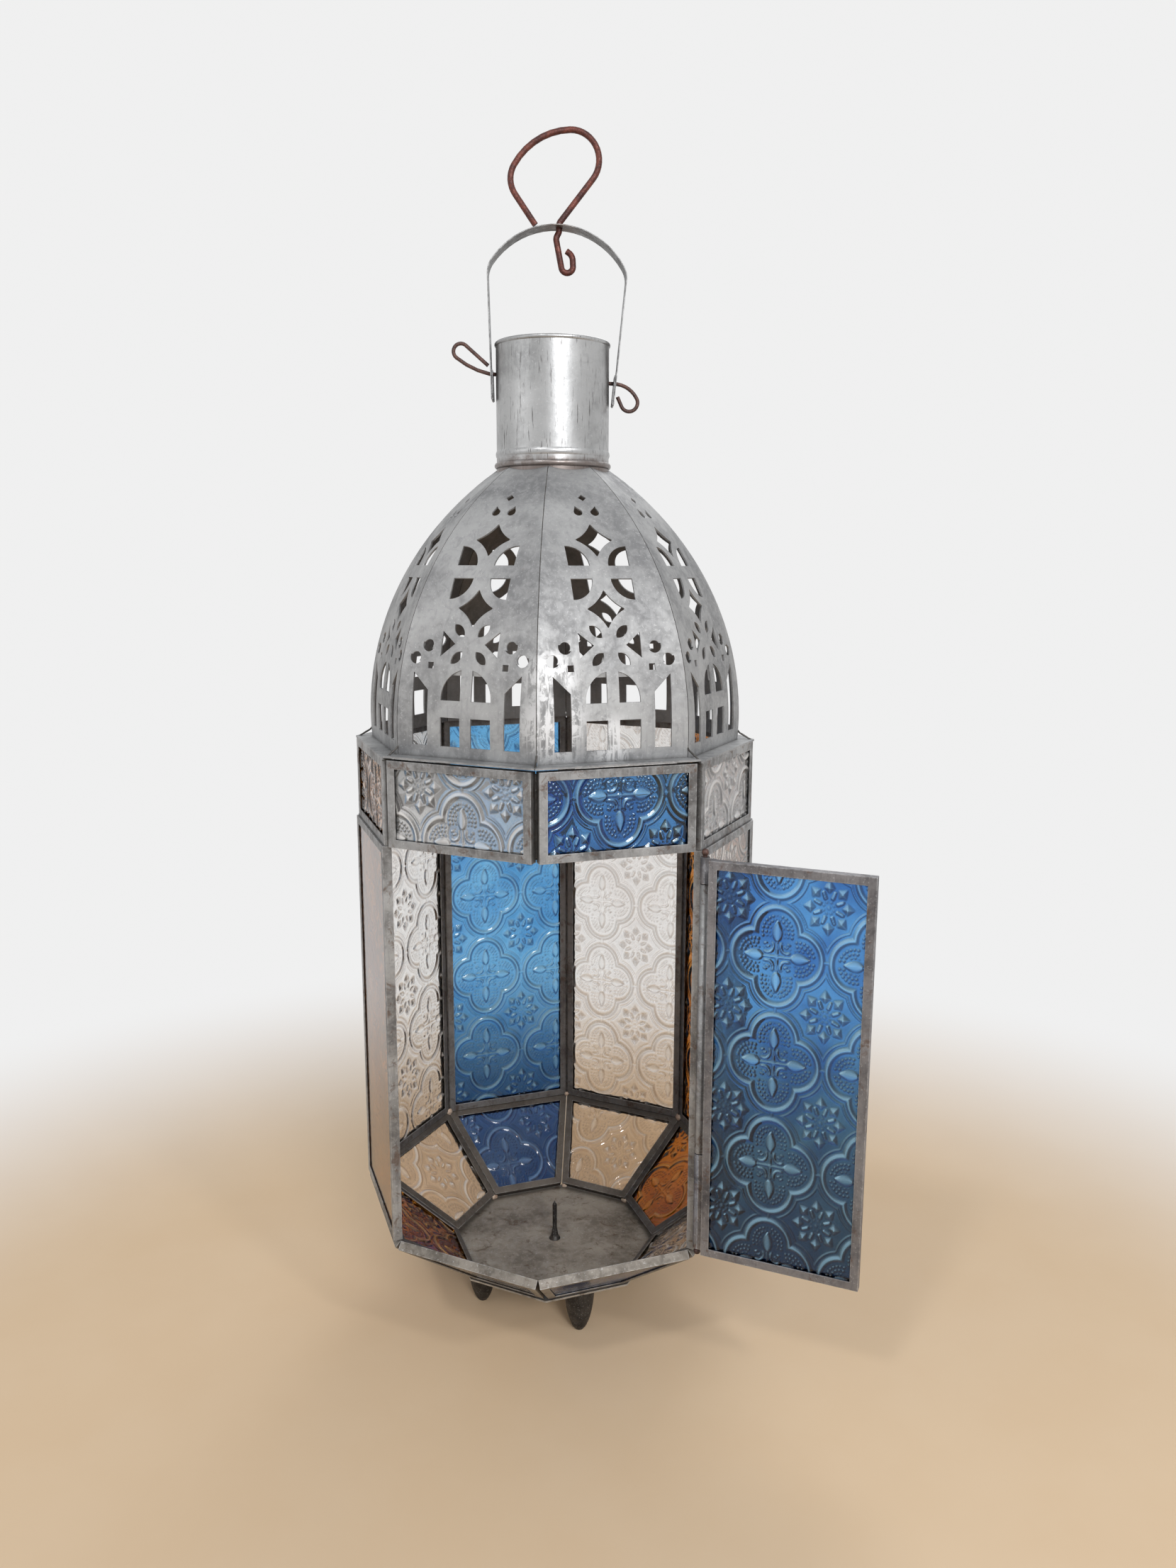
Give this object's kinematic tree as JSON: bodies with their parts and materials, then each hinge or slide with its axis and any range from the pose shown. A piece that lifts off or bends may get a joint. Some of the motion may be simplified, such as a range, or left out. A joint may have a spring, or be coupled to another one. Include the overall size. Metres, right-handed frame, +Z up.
{
  "type": "hanging candle lantern",
  "caption": "Octagonal candle lantern of patterned coloured glass in folded sheet frames, with a sloped tray, hinged door, pierced dome, collar, bail and wire hook",
  "frame": {"origin": "on the lantern's axis, at the level of the surface that its four feet stand on", "axes": "+Z up the lantern's axis; -Y through the corner at the middle of the doorway, so that the door is hinged on the +X side"},
  "size_m": [0.2056, 0.1729, 0.4903],
  "materials": {
    "channel_sheet": "tinned sheet steel gone grey, mottled, with dark seams",
    "bright_sheet": "galvanised sheet with soft spangle and a bright streak",
    "dome_sheet": "galvanised sheet, mottled grey, pierced by hand",
    "dull_sheet": "sheet steel dulled and stained brown by wax and heat",
    "dark_wire": "dark oxidised iron wire",
    "rusty_wire": "rusted iron wire, reddish brown",
    "blue_glass": "cobalt blue pressed glass with a raised pattern",
    "amber_glass": "amber pressed glass with a raised pattern",
    "clear_glass": "clear pressed glass with a raised pattern"
  },
  "bodies": {
    "lantern": {"floor_plate": "dull_sheet", "candle_spike": "dull_sheet", "feet": "dull_sheet", "tray_frames": "dull_sheet", "tray_glass_a": "blue_glass", "tray_glass_b": "clear_glass", "tray_glass_c": "amber_glass", "tray_glass_d": "clear_glass", "tray_glass_e": "blue_glass", "tray_glass_f": "clear_glass", "tray_glass_g": "amber_glass", "tray_glass_h": "clear_glass", "body_frame_b": "channel_sheet", "body_frame_c": "channel_sheet", "body_frame_d": "channel_sheet", "body_frame_e": "channel_sheet", "body_frame_f": "channel_sheet", "body_frame_g": "channel_sheet", "body_glass_b": "clear_glass", "body_glass_c": "amber_glass", "body_glass_d": "clear_glass", "body_glass_e": "blue_glass", "body_glass_f": "clear_glass", "body_glass_g": "amber_glass", "band_frame_a": "channel_sheet", "band_frame_b": "channel_sheet", "band_frame_c": "channel_sheet", "band_frame_d": "channel_sheet", "band_frame_e": "channel_sheet", "band_frame_f": "channel_sheet", "band_frame_g": "channel_sheet", "band_frame_h": "channel_sheet", "band_glass_a": "blue_glass", "band_glass_b": "clear_glass", "band_glass_c": "amber_glass", "band_glass_d": "clear_glass", "band_glass_e": "blue_glass", "band_glass_f": "clear_glass", "band_glass_g": "amber_glass", "band_glass_h": "clear_glass", "gore_a": "dome_sheet", "gore_b": "dome_sheet", "gore_c": "dome_sheet", "gore_d": "dome_sheet", "gore_e": "dome_sheet", "gore_f": "dome_sheet", "gore_g": "dome_sheet", "gore_h": "dome_sheet", "collar": "bright_sheet", "hinge_wire": "dark_wire", "post_barrel": "channel_sheet", "bail_pin_left": "dark_wire", "bail_pin_right": "dark_wire"},
    "door": {"door_frame": "channel_sheet", "door_glass": "blue_glass", "door_barrels": "channel_sheet"},
    "bail": {"bail": "bright_sheet"},
    "hook": {"hanging_hook": "rusty_wire"}
  },
  "joints": [
    {"name": "door_hinge", "type": "hinge", "parent": "lantern", "child": "door", "pos_m": [0.06148, -0.06148, 0.137], "axis": [0, 0, 1], "range_deg": [-137.5, 77.5]},
    {"name": "bail_swing", "type": "hinge", "parent": "lantern", "child": "bail", "pos_m": [0, 0, 0.39723], "axis": [0.9945, 0.0783, -0.0698], "range_deg": [-115, 115]},
    {"name": "hook_swivel", "type": "hinge", "parent": "bail", "child": "hook", "pos_m": [0.00269, 0.00021, 0.4537], "axis": [0, 0, 1], "continuous": true}
  ]
}
